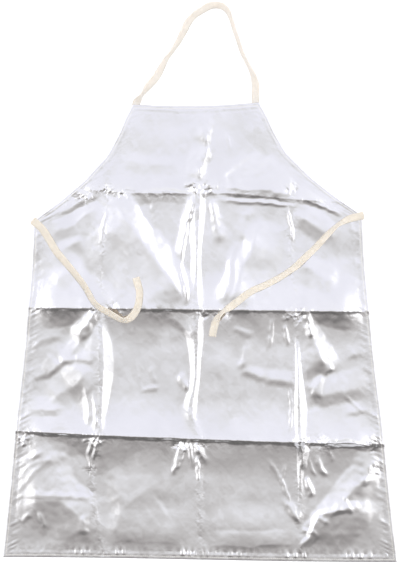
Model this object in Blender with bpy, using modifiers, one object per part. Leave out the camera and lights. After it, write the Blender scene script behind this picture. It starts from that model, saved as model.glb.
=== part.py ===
"""An aluminized work apron, lying flat with its foil side up and its neck loop towards +Y.

Units are metres and +Z is up. The pieces are laid out on the apron's own axes: x runs from the
hem's middle to the right, y runs from the hem up to the bib, and z is height above the floor.
An empty then carries them all, so that the origin is at the middle of the outline, on the floor.
"""
import math

import bmesh
import bpy
from mathutils import Vector
from mathutils.bvhtree import BVHTree
from mathutils.geometry import interpolate_bezier

# Body cloth: overall cut
BODY_LENGTH = 0.912      # hem to bib top, on the centre line
HEM_WIDTH = 0.788        # along the bottom edge
WAIST_WIDTH = 0.656      # between the two underarm corners
BIB_WIDTH = 0.252        # along the top edge
ARMHOLE_DROP = 0.230     # bib top down to the underarm corners

# Body cloth: how it lies, a little askew
BIB_SHIFT = -0.008       # the bib's middle lies to the left of the centre line
WAIST_SHIFT = -0.004
BIB_TILT = 0.004         # right end higher than the left end
WAIST_TILT = 0.011
HEM_TILT = -0.010
BIB_DIP = 0.005          # the top edge hangs in a shallow curve

# Body cloth: wall and turned-under hem
CLOTH = 0.0012
HEM_WALL = 0.0024
HEM_TURN = 0.010
HEM_STEP = 0.002         # width over which the doubled wall thins to the single one

# Folds left by packing: the cloth rises to a sharp ridge along each of them
CROSS_FOLD_HEIGHT = 0.0085
CROSS_FOLD_REACH = 0.085
LONG_FOLD_HEIGHT = 0.0060
LONG_FOLD_REACH = 0.070
FOLD_AT_EDGE = 0.45      # share of its height that a fold keeps where it meets the hem
EDGE_REACH = 0.045       # a fold reaches its full height this far in from the hem
SWELL_HEIGHT = 0.0050    # soft humps between the folds

# Tapes
TAPE_WIDTH = 0.015
TAPE_THICKNESS = 0.0012
TAB_LENGTH = 0.026       # the end of each tape, which is sewn behind a corner
NECK_RISE = 0.196        # bib top to the crest of the neck strap
TAPE_STEP = 0.0065       # distance between two cross-sections
REST_WINDOW = 0.010      # a tape bridges dents shorter than this
TURN_STEPS = 6           # steps round the turn at a tie's root
LIFT_REACH = 0.030       # the cloth comes down to the floor this far beyond a tab

GAP = 0.0003             # clearance between two pieces that touch

# Mesh cells between neighbouring lines: edge, hem, hem step, folds, hem step, hem, edge
ACROSS_CELLS = (1, 1, 9, 10, 10, 9, 1, 1)
UP_CELLS = (1, 1, 11, 11, 7, 3, 9, 1, 1)

# Side edge: share of the way up to the underarm corner, share of the flare still to come
SIDE_FLARE = (
    (0.00, 1.000),
    (0.19, 0.785),
    (0.41, 0.560),
    (0.55, 0.380),
    (0.71, 0.217),
    (0.87, 0.067),
    (1.00, 0.000),
)

# Armhole: share of the drop from the bib corner, share of the way out to the underarm corner
ARMHOLE = (
    (0.000, 0.000),
    (0.137, 0.085),
    (0.240, 0.135),
    (0.340, 0.197),
    (0.445, 0.265),
    (0.547, 0.375),
    (0.650, 0.487),
    (0.752, 0.625),
    (0.855, 0.770),
    (0.957, 0.935),
    (1.000, 1.000),
)

# Cross folds: share of half the hem's width from the middle, share of the body's length up
LOW_FOLD = ((-1.00, 0.284), (-0.54, 0.274), (-0.14, 0.267), (0.45, 0.258), (1.00, 0.253))
MIDDLE_FOLD = ((-1.00, 0.554), (0.00, 0.548), (1.00, 0.543))
HIGH_FOLD = (
    (-0.80, 0.760),
    (-0.73, 0.771),
    (-0.64, 0.797),
    (-0.52, 0.810),
    (-0.30, 0.803),
    (0.11, 0.803),
    (0.46, 0.790),
    (0.80, 0.782),
)

# Long folds: share of the body's length up, share of half the hem's width from the middle
LEFT_FOLD = ((0.00, -0.485), (0.16, -0.548), (0.28, -0.508), (0.55, -0.508), (0.81, -0.467))
CENTRE_FOLD = (
    (0.00, 0.000),
    (0.26, 0.000),
    (0.32, -0.046),
    (0.41, -0.020),
    (0.68, -0.015),
    (0.87, 0.000),
    (0.90, 0.030),
    (0.94, 0.015),
    (1.00, 0.046),
)
RIGHT_FOLD = ((0.00, 0.513), (0.26, 0.503), (0.55, 0.487), (0.70, 0.457), (0.81, 0.472))
BIB_COLUMN = 0.48        # the mesh's outer columns end here in the bib, between edge and middle

# Swells: across (share of half the hem's width), up (share of the body's length), half length and
# half width (shares of half the hem's width), turn in degrees, height (share of SWELL_HEIGHT)
SWELLS = (
    (-0.80, 0.175, 0.32, 0.16, 55, 0.9),
    (-0.22, 0.120, 0.30, 0.14, 10, 0.7),
    (0.74, 0.105, 0.34, 0.13, 20, 0.8),
    (0.28, 0.175, 0.26, 0.12, -15, 0.6),
    (-0.72, 0.440, 0.30, 0.13, -35, 0.7),
    (0.66, 0.470, 0.34, 0.14, -62, 0.9),
    (0.22, 0.400, 0.28, 0.14, 75, 0.6),
    (0.30, 0.670, 0.36, 0.12, 62, 0.9),
    (-0.30, 0.650, 0.30, 0.14, 40, 0.6),
    (-0.70, 0.640, 0.24, 0.13, -40, 0.7),
    (-0.25, 0.905, 0.30, 0.12, 25, 0.5),
)

# Neck strap, from the left bib corner round to the right one: x as a share of half the bib's width
# from its middle, y above the bib as a share of the rise, and roll in degrees, left side lifted
NECK_ROUTE = (
    (-0.955, -0.010, 0),
    (-0.911, 0.036, 30),
    (-0.876, 0.066, 66),
    (-0.822, 0.114, 62),
    (-0.746, 0.183, 28),
    (-0.638, 0.261, 14),
    (-0.556, 0.350, 32),
    (-0.471, 0.448, 58),
    (-0.379, 0.527, 64),
    (-0.273, 0.635, 50),
    (-0.181, 0.752, 28),
    (-0.127, 0.821, 24),
    (-0.029, 0.894, 42),
    (0.094, 0.948, 32),
    (0.216, 0.991, 32),
    (0.322, 1.000, 40),
    (0.421, 0.985, 44),
    (0.498, 0.940, 54),
    (0.552, 0.860, 66),
    (0.598, 0.762, 67),
    (0.667, 0.635, 66),
    (0.727, 0.516, 68),
    (0.841, 0.369, 68),
    (0.905, 0.281, 50),
    (0.940, 0.193, 20),
    (0.946, 0.114, 4),
    (0.946, 0.010, 0),
)

# Ties, from their underarm corner to the cut end: x and y from the corner, and roll in degrees
LEFT_TIE_ROUTE = (
    (0.0000, 0.0000, 0),
    (0.0100, -0.0086, 0),
    (0.0200, -0.0196, 2),
    (0.0320, -0.0386, 6),
    (0.0440, -0.0588, 10),
    (0.0560, -0.0736, 18),
    (0.0690, -0.0886, 24),
    (0.0840, -0.1066, 28),
    (0.0980, -0.1246, 32),
    (0.1080, -0.1406, 36),
    (0.1174, -0.1576, 40),
    (0.1240, -0.1656, 40),
    (0.1320, -0.1726, 36),
    (0.1500, -0.1830, 32),
    (0.1680, -0.1936, 38),
    (0.1770, -0.1976, 46),
    (0.1860, -0.1976, 34),
    (0.1946, -0.1920, 12),
    (0.2020, -0.1832, 4),
    (0.2074, -0.1726, 12),
    (0.2110, -0.1576, 24),
    (0.2114, -0.1396, 22),
    (0.2080, -0.1268, 16),
    (0.2040, -0.1126, 10),
)
RIGHT_TIE_ROUTE = (
    (0.0000, 0.0000, 0),
    (-0.0130, -0.0030, 6),
    (-0.0260, -0.0064, 22),
    (-0.0380, -0.0120, 46),
    (-0.0500, -0.0194, 60),
    (-0.0600, -0.0284, 52),
    (-0.0700, -0.0384, 42),
    (-0.0940, -0.0644, 32),
    (-0.1180, -0.0870, 28),
    (-0.1330, -0.1014, 32),
    (-0.1470, -0.1114, 44),
    (-0.1620, -0.1216, 38),
    (-0.1786, -0.1308, 36),
    (-0.1980, -0.1404, 32),
    (-0.2150, -0.1476, 28),
    (-0.2300, -0.1564, 20),
    (-0.2440, -0.1674, 14),
    (-0.2640, -0.1824, 22),
    (-0.2720, -0.1870, 44),
    (-0.2794, -0.1924, 62),
    (-0.2874, -0.2014, 48),
    (-0.2924, -0.2114, 18),
    (-0.2960, -0.2244, 4),
    (-0.2980, -0.2334, 0),
    (-0.2992, -0.2416, 0),
)

# Colours and surfaces: base colour, metallic, roughness
FOIL = ((0.80, 0.80, 0.82, 1.0), 1.0, 0.28)
TWILL = ((0.90, 0.83, 0.73, 1.0), 0.0, 0.90)

LEFT, RIGHT = -1, 1


def smoothstep(t):
    t = min(max(t, 0.0), 1.0)
    return t * t * (3.0 - 2.0 * t)


def along(table, t):
    """The table's second column at t, on a smooth curve through its rows that never overshoots."""
    if t <= table[0][0]:
        return table[0][1]
    if t >= table[-1][0]:
        return table[-1][1]
    slopes = [(b[1] - a[1]) / (b[0] - a[0]) for a, b in zip(table, table[1:])]

    def tangent(i):
        if i in (0, len(slopes)):
            return slopes[min(i, len(slopes) - 1)]
        before, after = slopes[i - 1], slopes[i]
        return 0.0 if before * after <= 0 else 2.0 * before * after / (before + after)

    k = next(i for i in range(len(slopes)) if t <= table[i + 1][0])
    (t0, a), (t1, b) = table[k], table[k + 1]
    width = t1 - t0
    u = (t - t0) / width
    return (
        a * (1 + 2 * u) * (1 - u) ** 2
        + tangent(k) * width * u * (1 - u) ** 2
        + b * u * u * (3 - 2 * u)
        + tangent(k + 1) * width * u * u * (u - 1)
    )


# Outline and fold lines

def hem_line(x):
    """The bottom edge: a slight slope that levels out towards both corners."""
    share = min(max(2 * x / HEM_WIDTH, -1.0), 1.0)
    return HEM_TILT / 2 * math.sin(math.pi / 2 * share)


def waist_line(x):
    """The line between the two underarm corners."""
    return BODY_LENGTH - ARMHOLE_DROP + WAIST_TILT * (x - WAIST_SHIFT) / WAIST_WIDTH


def top_line(x):
    share = 2 * (x - BIB_SHIFT) / BIB_WIDTH
    return BODY_LENGTH + BIB_TILT / 2 * share - BIB_DIP * max(0.0, 1 - share * share)


def hem_corner(side):
    x = side * HEM_WIDTH / 2
    return Vector((x, hem_line(x)))


def waist_corner(side):
    x = WAIST_SHIFT + side * WAIST_WIDTH / 2
    return Vector((x, waist_line(x)))


def bib_corner(side):
    x = BIB_SHIFT + side * BIB_WIDTH / 2
    return Vector((x, top_line(x)))


def edge(side, y):
    """The x of the left or right edge at height y."""
    hem, waist, bib = hem_corner(side), waist_corner(side), bib_corner(side)
    if y <= waist.y:
        way_up = (y - hem.y) / (waist.y - hem.y)
        return waist.x + (hem.x - waist.x) * along(SIDE_FLARE, way_up)
    way_down = (bib.y - y) / (bib.y - waist.y)
    return bib.x + (waist.x - bib.x) * along(ARMHOLE, way_down)


def cross_fold(table, x):
    return BODY_LENGTH * along(table, 2 * x / HEM_WIDTH)


def long_fold(table, y):
    return HEM_WIDTH / 2 * along(table, y / BODY_LENGTH)


def outer_column(side, table, y):
    """The x of a long fold, and above its upper end that of the mesh column that goes on from it."""
    end = BODY_LENGTH * table[-1][0]
    if y <= end:
        return long_fold(table, y)
    end_share = (long_fold(table, end) - edge(side, end)) / (
        long_fold(CENTRE_FOLD, end) - edge(side, end)
    )
    share = end_share + (BIB_COLUMN - end_share) * smoothstep((y - end) / (BODY_LENGTH - end))
    return edge(side, y) + share * (long_fold(CENTRE_FOLD, y) - edge(side, y))


def column_lines(y):
    left, right = edge(LEFT, y), edge(RIGHT, y)
    return (
        left,
        left + HEM_TURN,
        left + HEM_TURN + HEM_STEP,
        outer_column(LEFT, LEFT_FOLD, y),
        long_fold(CENTRE_FOLD, y),
        outer_column(RIGHT, RIGHT_FOLD, y),
        right - HEM_TURN - HEM_STEP,
        right - HEM_TURN,
        right,
    )


def row_lines(x):
    bottom, top = hem_line(x), top_line(x)
    return (
        bottom,
        bottom + HEM_TURN,
        bottom + HEM_TURN + HEM_STEP,
        cross_fold(LOW_FOLD, x),
        cross_fold(MIDDLE_FOLD, x),
        waist_line(x),
        cross_fold(HIGH_FOLD, x),
        top - HEM_TURN - HEM_STEP,
        top - HEM_TURN,
        top,
    )


def spread(lines, cells):
    """Positions from the first line to the last, closer together beside each line."""
    positions = [lines[0]]
    for low, high, count in zip(lines, lines[1:], cells):
        for k in range(1, count + 1):
            share = (1 - math.cos(math.pi * k / count)) / 2
            positions.append(low + share * (high - low))
    return positions


def plan_position(column, row):
    """Where a column of the mesh crosses a row of it, found by turns."""
    x = 0.0
    for _ in range(4):
        y = spread(row_lines(x), UP_CELLS)[row]
        x = spread(column_lines(y), ACROSS_CELLS)[column]
    return x, y


# Relief

def ridge(distance, reach):
    return max(0.0, 1 - abs(distance) / reach) ** 2


def fold_relief(x, y):
    cross = max(
        ridge(y - cross_fold(table, x), CROSS_FOLD_REACH)
        for table in (LOW_FOLD, MIDDLE_FOLD, HIGH_FOLD)
    )
    long = ridge(x - long_fold(CENTRE_FOLD, y), LONG_FOLD_REACH)
    for table in (LEFT_FOLD, RIGHT_FOLD):
        above_end = y - BODY_LENGTH * table[-1][0]
        fade = 1 - smoothstep(above_end / LONG_FOLD_REACH)
        long = max(long, fade * ridge(x - long_fold(table, y), LONG_FOLD_REACH))
    return math.hypot(CROSS_FOLD_HEIGHT * cross, LONG_FOLD_HEIGHT * long)


def swell_relief(x, y):
    unit = HEM_WIDTH / 2
    height = 0.0
    for across, up, half_length, half_width, turn, share in SWELLS:
        offset = Vector((x - across * unit, y - up * BODY_LENGTH))
        direction = Vector((math.cos(math.radians(turn)), math.sin(math.radians(turn))))
        u = offset.dot(direction) / (half_length * unit)
        v = direction.cross(offset) / (half_width * unit)
        height += share * max(0.0, 1 - u * u - v * v) ** 2
    return SWELL_HEIGHT * height


def tab_lines():
    """The two ends, in plan, of the hidden stretch of tape behind each corner."""
    lines = []
    for end in (NECK_ROUTE[0], NECK_ROUTE[-1]):
        start = neck_point(end)
        lines.append((start, start - Vector((0.0, TAB_LENGTH))))
    for side, route in ((LEFT, LEFT_TIE_ROUTE), (RIGHT, RIGHT_TIE_ROUTE)):
        start = waist_corner(side)
        lines.append((start, start + TAB_LENGTH * root_direction(route)))
    return lines


def lift(x, y):
    """How far the cloth is held off the floor by the tapes sewn behind its corners."""
    point = Vector((x, y))
    height = 0.0
    for start, end in tab_lines():
        run = end - start
        share = min(max((point - start).dot(run) / run.length_squared, 0.0), 1.0)
        beyond = (point - start - share * run).length - 1.5 * TAPE_WIDTH
        height = max(height, 1 - smoothstep(beyond / LIFT_REACH))
    return (TAPE_THICKNESS + 2 * GAP) * height


def cloth_top(x, y):
    inset = min(x - edge(LEFT, y), edge(RIGHT, y) - x, y - hem_line(x), top_line(x) - y)
    inward = smoothstep((inset - HEM_TURN - HEM_STEP) / EDGE_REACH)
    folds = fold_relief(x, y) * (FOLD_AT_EDGE + (1 - FOLD_AT_EDGE) * inward)
    sag = HEM_WALL - CLOTH - GAP
    return HEM_WALL + lift(x, y) + folds + (swell_relief(x, y) - sag) * inward


# Tape routes

def neck_point(row):
    across, up = row[0], row[1]
    return Vector((BIB_SHIFT + across * BIB_WIDTH / 2, BODY_LENGTH + up * NECK_RISE))


def root_direction(route):
    return (Vector(route[1][:2]) - Vector(route[0][:2])).normalized()


def smooth_route(points):
    """Points about TAPE_STEP apart on a smooth curve through the given ones, which hold x, y, roll."""
    knots = [Vector(p) for p in points]
    before = [knots[0]] + knots[:-1]
    after = knots[1:] + [knots[-1]]
    reach = [(b - a) / 6 for a, b in zip(before, after)]
    result = [knots[0]]
    for k in range(len(knots) - 1):
        start, end = knots[k], knots[k + 1]
        steps = max(1, round((end - start).xy.length / TAPE_STEP))
        handles = (start + reach[k], end - reach[k + 1])
        result += interpolate_bezier(start, *handles, end, steps + 1)[1:]
    return result


def side_vectors(route):
    """The level direction to the left of a route, at each of its points."""
    ahead = route[1:] + route[-1:]
    behind = route[:1] + route[:-1]
    return [Vector((a.y - b.y, b.x - a.x, 0.0)).normalized() * -1 for a, b in zip(ahead, behind)]


def rest_heights(route, sides, surface):
    """The height on which each point rests, with short dents bridged and the steps smoothed."""
    shares = (-0.5, -0.25, 0.0, 0.25, 0.5)
    raw = [
        max(surface(point + share * TAPE_WIDTH * side) for share in shares)
        for point, side in zip(route, sides)
    ]
    distance = [0.0]
    for a, b in zip(route, route[1:]):
        distance.append(distance[-1] + (b - a).xy.length)

    def near(k):
        return [j for j, d in enumerate(distance) if abs(d - distance[k]) <= REST_WINDOW]

    highest = [max(raw[j] for j in near(k)) for k in range(len(raw))]
    return [sum(highest[j] for j in near(k)) / len(near(k)) for k in range(len(raw))]


def laid_sections(points, surface):
    """Centre and half-width vector of each cross-section of a tape that rests on the surface."""
    route = smooth_route([(x, y, math.radians(roll)) for x, y, roll in points])
    sides = side_vectors(route)
    sections = []
    for point, side, rest in zip(route, sides, rest_heights(route, sides, surface)):
        roll = max(0.0, point.z)
        half = TAPE_WIDTH / 2 * (math.cos(roll) * side + math.sin(roll) * Vector((0, 0, 1)))
        height = rest + GAP + half.z + TAPE_THICKNESS / 2 * math.cos(roll)
        sections.append((Vector((point.x, point.y, height)), half))
    return sections


def root_sections(first, direction):
    """The sections from a tie's hidden tab end, round the edge of the cloth, up to its first one."""
    centre, half = first
    low = TAPE_THICKNESS / 2 + GAP
    radius = (centre.z - low) / 2
    corner = Vector((centre.x, centre.y, low))
    inward = direction.to_3d()
    steps = max(1, round(TAB_LENGTH / TAPE_STEP))
    sections = [(corner + inward * TAB_LENGTH * (1 - k / steps), half) for k in range(steps)]
    for k in range(TURN_STEPS):
        angle = math.pi * k / TURN_STEPS
        out = radius * math.sin(angle)
        up = radius * (1 - math.cos(angle))
        sections.append((corner - inward * (GAP + out) + Vector((0, 0, up)), half))
    return sections


# Objects

def clear_scene():
    for thing in list(bpy.data.objects):
        bpy.data.objects.remove(thing, do_unlink=True)


def finish(name, colour, metallic, roughness):
    material = bpy.data.materials.new(name)
    material.use_nodes = True
    shader = material.node_tree.nodes["Principled BSDF"]
    shader.inputs["Base Color"].default_value = colour
    shader.inputs["Metallic"].default_value = metallic
    shader.inputs["Roughness"].default_value = roughness
    return material


def add_object(name, bm, parent, surface):
    mesh = bpy.data.meshes.new(name)
    bm.to_mesh(mesh)
    bm.free()
    mesh.materials.append(finish(name + "_finish", *surface))
    mesh.shade_smooth()
    thing = bpy.data.objects.new(name, mesh)
    thing.parent = parent
    parent.users_collection[0].objects.link(thing)
    return thing


def add_wall(thing, thickness, offset):
    wall = thing.modifiers.new("wall", "SOLIDIFY")
    wall.thickness = thickness
    wall.offset = offset
    return wall


def shaped_grid(across, up, position):
    """A grid of cells whose corners are moved to position(column, row)."""
    bm = bmesh.new()
    bmesh.ops.create_grid(bm, x_segments=across, y_segments=up, size=1.0)
    for vert in bm.verts:
        column = round((vert.co.x + 1) / 2 * across)
        row = round((vert.co.y + 1) / 2 * up)
        vert.co = position(column, row)
    bm.normal_update()
    return bm


def build_body(parent):
    """The apron's one sheet of cloth. Returns the heights of its upper face."""
    across, up = sum(ACROSS_CELLS), sum(UP_CELLS)

    def position(column, row):
        x, y = plan_position(column, row)
        return Vector((x, y, cloth_top(x, y)))

    bm = shaped_grid(across, up, position)
    bmesh.ops.triangulate(bm, faces=bm.faces)
    faces = BVHTree.FromBMesh(bm)
    weights = bm.verts.layers.deform.verify()
    for vert in bm.verts:
        x, y = vert.co.x, vert.co.y
        inset = min(x - edge(LEFT, y), edge(RIGHT, y) - x, y - hem_line(x), top_line(x) - y)
        in_hem = inset < HEM_TURN + HEM_STEP / 2
        vert[weights][0] = 1.0 if in_hem else CLOTH / HEM_WALL
    body = add_object("apron_body", bm, parent, FOIL)
    body.vertex_groups.new(name="wall")
    wall = add_wall(body, HEM_WALL, -1.0)
    wall.vertex_group = "wall"

    def top(point):
        hit = faces.ray_cast(Vector((point.x, point.y, 1.0)), Vector((0, 0, -1)))[0]
        return hit.z if hit else 0.0

    return top


def build_tape(name, sections, parent):
    def position(column, row):
        centre, half = sections[row]
        return centre - half if column else centre + half

    bm = shaped_grid(1, len(sections) - 1, position)
    tape = add_object(name, bm, parent, TWILL)
    add_wall(tape, TAPE_THICKNESS, 0.0)
    return tape


def build_neck_strap(parent):
    points = [(*neck_point(row), row[2]) for row in NECK_ROUTE]
    tabs = [(x, y - TAB_LENGTH, 0) for x, y, _ in (points[0], points[-1])]
    sections = laid_sections([tabs[0], *points, tabs[1]], lambda point: 0.0)
    build_tape("neck_strap", sections, parent)


def build_tie(name, side, route, surface, parent):
    corner = waist_corner(side)
    points = [(corner.x + x, corner.y + y, roll) for x, y, roll in route]
    sections = laid_sections(points, surface)
    sections = root_sections(sections[0], root_direction(route)) + sections
    build_tape(name, sections, parent)


def centre_on_floor(carrier):
    """Moves the carrier so that the origin is under the middle of everything that it holds."""
    graph = bpy.context.evaluated_depsgraph_get()
    corners = [
        Vector(corner)
        for thing in carrier.children
        for corner in thing.evaluated_get(graph).bound_box
    ]
    low = Vector(min(c[i] for c in corners) for i in range(3))
    high = Vector(max(c[i] for c in corners) for i in range(3))
    carrier.location = (-(low.x + high.x) / 2, -(low.y + high.y) / 2, -low.z)


def main():
    clear_scene()
    collection = bpy.data.collections.new("aluminized_apron")
    bpy.context.scene.collection.children.link(collection)
    carrier = bpy.data.objects.new("apron", None)
    collection.objects.link(carrier)
    surface = build_body(carrier)
    build_neck_strap(carrier)
    build_tie("left_waist_tie", LEFT, LEFT_TIE_ROUTE, surface, carrier)
    build_tie("right_waist_tie", RIGHT, RIGHT_TIE_ROUTE, surface, carrier)
    centre_on_floor(carrier)


main()
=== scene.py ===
"""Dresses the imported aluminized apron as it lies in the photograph, and sets up its studio.

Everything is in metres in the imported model's frame. The tables of folds and creases are given on
the apron's own axes, which run from the middle of its hem: x to the right and y up to the bib.
"""
import math

import bmesh
import bpy
import numpy as np
from mathutils import Matrix, Vector
from mathutils.bvhtree import BVHTree
from mathutils.geometry import interpolate_bezier


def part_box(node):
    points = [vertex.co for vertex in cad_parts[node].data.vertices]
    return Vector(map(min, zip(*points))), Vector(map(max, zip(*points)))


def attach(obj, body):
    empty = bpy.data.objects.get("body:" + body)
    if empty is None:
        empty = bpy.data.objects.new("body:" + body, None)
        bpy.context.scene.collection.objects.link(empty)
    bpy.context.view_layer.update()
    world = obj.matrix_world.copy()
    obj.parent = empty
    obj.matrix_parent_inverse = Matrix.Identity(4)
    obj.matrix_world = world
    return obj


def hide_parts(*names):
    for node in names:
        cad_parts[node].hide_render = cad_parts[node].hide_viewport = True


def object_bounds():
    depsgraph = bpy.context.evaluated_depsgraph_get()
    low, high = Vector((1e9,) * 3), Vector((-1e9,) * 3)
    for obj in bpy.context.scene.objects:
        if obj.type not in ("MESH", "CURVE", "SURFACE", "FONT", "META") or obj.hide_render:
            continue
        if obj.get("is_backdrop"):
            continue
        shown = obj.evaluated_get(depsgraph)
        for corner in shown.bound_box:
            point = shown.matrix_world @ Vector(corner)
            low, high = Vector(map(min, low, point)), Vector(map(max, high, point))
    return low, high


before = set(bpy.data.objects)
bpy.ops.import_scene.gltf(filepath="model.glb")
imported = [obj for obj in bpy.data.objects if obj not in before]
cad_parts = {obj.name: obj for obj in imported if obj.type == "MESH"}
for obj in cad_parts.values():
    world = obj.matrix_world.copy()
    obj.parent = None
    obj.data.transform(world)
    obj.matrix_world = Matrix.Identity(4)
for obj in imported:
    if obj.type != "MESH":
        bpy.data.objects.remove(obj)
CAD_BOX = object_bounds()

bl_info = {
    "name": "Aluminized Apron",
    "version": (1, 0, 0),
    "blender": (4, 5, 0),
    "location": "View3D > Sidebar > Apron",
    "description": "Builds a foil-faced work apron with tape ties, and the studio it lies in",
    "category": "Add Mesh",
}

# The cut, as in the part's source
BODY_LENGTH = 0.912
HEM_WIDTH = 0.788
WAIST_WIDTH = 0.656
BIB_WIDTH = 0.252
ARMHOLE_DROP = 0.230
BIB_SHIFT = -0.008
WAIST_SHIFT = -0.004
BIB_TILT = 0.004
WAIST_TILT = 0.011
HEM_TILT = -0.010
BIB_DIP = 0.005
HEM_WALL = 0.0024
HEM_STEP = 0.0096        # the foil face steps down here, in from the edge
HEM_TURN = 0.0106        # the turned edge ends here on the underside
TAB_LENGTH = 0.026
NECK_RISE = 0.196
GAP = 0.0003
FLOOR_GAP = 0.0001

# Reach of the relief
CROSS_ABOVE = 0.085      # of a cross fold, towards the bib
CROSS_BELOW = 0.076      # and towards the hem
LONG_REACH = 0.060       # of a long fold, to both sides
LIFT_REACH = 0.060       # the cloth comes down to the floor this far beyond a tape's end
HEM_BAND = 0.012         # the hem is kept flat this far in from the edge

# Tapes and stitches
TAPE_STEP = 0.003        # distance between two cross-sections
TAPE_CELLS = 6           # across the width
REST_WINDOW = 0.009      # a tape bridges dents shorter than this
TAB_STEPS = 8
TURN_STEPS = 10
TAPE_CUP = 0.0005        # how far the middle of a tape sinks between its edges, here and there
CUP_LENGTH = 0.021
STITCH_BATCH = 20

# Where the apron's own y = 0 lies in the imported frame
SHIFT_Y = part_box("apron_body")[0][1] - HEM_TILT / 2

LEFT, RIGHT = -1, 1

# Shapes of the side and the armhole: share of the way, share of the width between their ends
SIDE_FLARE = (
    (0.00, 1.000), (0.19, 0.785), (0.41, 0.560), (0.55, 0.380),
    (0.71, 0.217), (0.87, 0.067), (1.00, 0.000),
)
ARMHOLE = (
    (0.000, 0.000), (0.137, 0.085), (0.240, 0.135), (0.340, 0.197), (0.445, 0.265), (0.547, 0.375),
    (0.650, 0.487), (0.752, 0.625), (0.855, 0.770), (0.957, 0.935), (1.000, 1.000),
)
# Packing folds across: x as a share of half the hem, y as a share of the body's length
LOW_FOLD = ((-1.00, 0.284), (-0.54, 0.274), (-0.14, 0.267), (0.45, 0.258), (1.00, 0.253))
MIDDLE_FOLD = ((-1.00, 0.554), (0.00, 0.548), (1.00, 0.543))
HIGH_FOLD = (
    (-0.80, 0.760), (-0.73, 0.771), (-0.64, 0.797), (-0.52, 0.810),
    (-0.30, 0.803), (0.11, 0.803), (0.46, 0.790), (0.80, 0.782),
)
# Folds up the apron: y as a share of the body's length, x as a share of half the hem
LEFT_FOLD = ((0.00, -0.485), (0.16, -0.548), (0.28, -0.508), (0.55, -0.508), (0.81, -0.467))
CENTRE_FOLD = (
    (0.00, 0.000), (0.26, 0.000), (0.32, -0.046), (0.41, -0.020), (0.68, -0.015),
    (0.87, 0.000), (0.90, 0.030), (0.94, 0.015), (1.00, 0.046),
)
RIGHT_FOLD = ((0.00, 0.513), (0.26, 0.503), (0.55, 0.487), (0.70, 0.457), (0.81, 0.472))
# The mesh's outer columns end here in the bib, between its edge and its middle
BIB_COLUMN = 0.48

# Mesh lines in from each edge, and cells between one fold and the next
HEM_LINES = (0.0, 0.0013, 0.0030, 0.0048, 0.0062, 0.0078, HEM_STEP, 0.0116, 0.0150)
ACROSS_CELLS = (66, 70, 70, 66)
UP_CELLS = (86, 84, 42, 22, 56)

# The same for the underside, which lies nearly flat on the floor
BACK_HEM_LINES = (0.0, 0.0030, HEM_TURN, 0.0150)
BACK_ACROSS_CELLS = (14, 14, 14, 14)
BACK_UP_CELLS = (18, 18, 9, 4, 12)

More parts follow.
